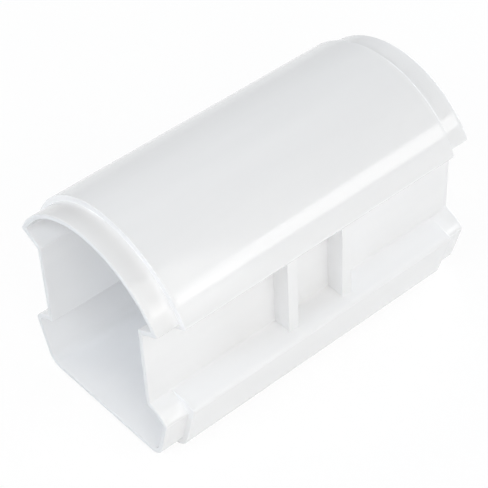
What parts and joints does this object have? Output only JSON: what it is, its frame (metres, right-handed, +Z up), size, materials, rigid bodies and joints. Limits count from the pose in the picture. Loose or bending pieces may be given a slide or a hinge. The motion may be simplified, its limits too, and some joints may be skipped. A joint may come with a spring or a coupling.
{
  "type": "gutter union",
  "caption": "Domed plastic gutter union: a one-piece sleeve open at both ends, with a lower band round each mouth, side grooves with upright ribs and a flared foot.",
  "frame": {"origin": "on the flat underside of the raised middle, on the centre line, at mid-length", "axes": "+X along the tube from one mouth to the other, +Y across it, +Z up towards the crown of the dome"},
  "size_m": [0.195, 0.1082, 0.1205],
  "materials": {
    "white_plastic": "smooth glossy white moulding"
  },
  "bodies": {
    "root": {"gutter_union": "white_plastic"}
  },
  "joints": []
}
